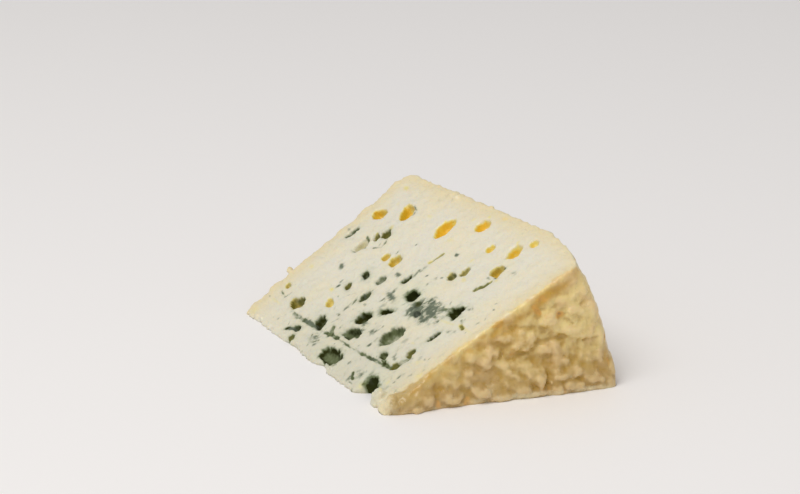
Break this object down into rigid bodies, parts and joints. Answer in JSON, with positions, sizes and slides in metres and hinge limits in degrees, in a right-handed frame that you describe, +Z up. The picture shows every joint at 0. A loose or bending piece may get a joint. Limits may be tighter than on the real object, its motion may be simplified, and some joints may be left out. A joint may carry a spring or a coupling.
{
  "type": "roquefort wedge",
  "caption": "Wedge of soft blue-veined cheese lying on a cut face, with ragged mould pockets, a crumbled tip line and a knobbly moist rind.",
  "frame": {"origin": "on the ground, under the middle of the wedge's footprint", "axes": "+Z up; +Y along the tip line, from the near flat rind to the far one; +X from the tip line to the curved rim"},
  "size_m": [0.088, 0.1302, 0.0464],
  "materials": {
    "paste": "moist ivory paste with blue-green mould pockets and a tan rind, satin"
  },
  "bodies": {
    "root": {"blue_cheese_wedge": "paste"}
  },
  "joints": []
}
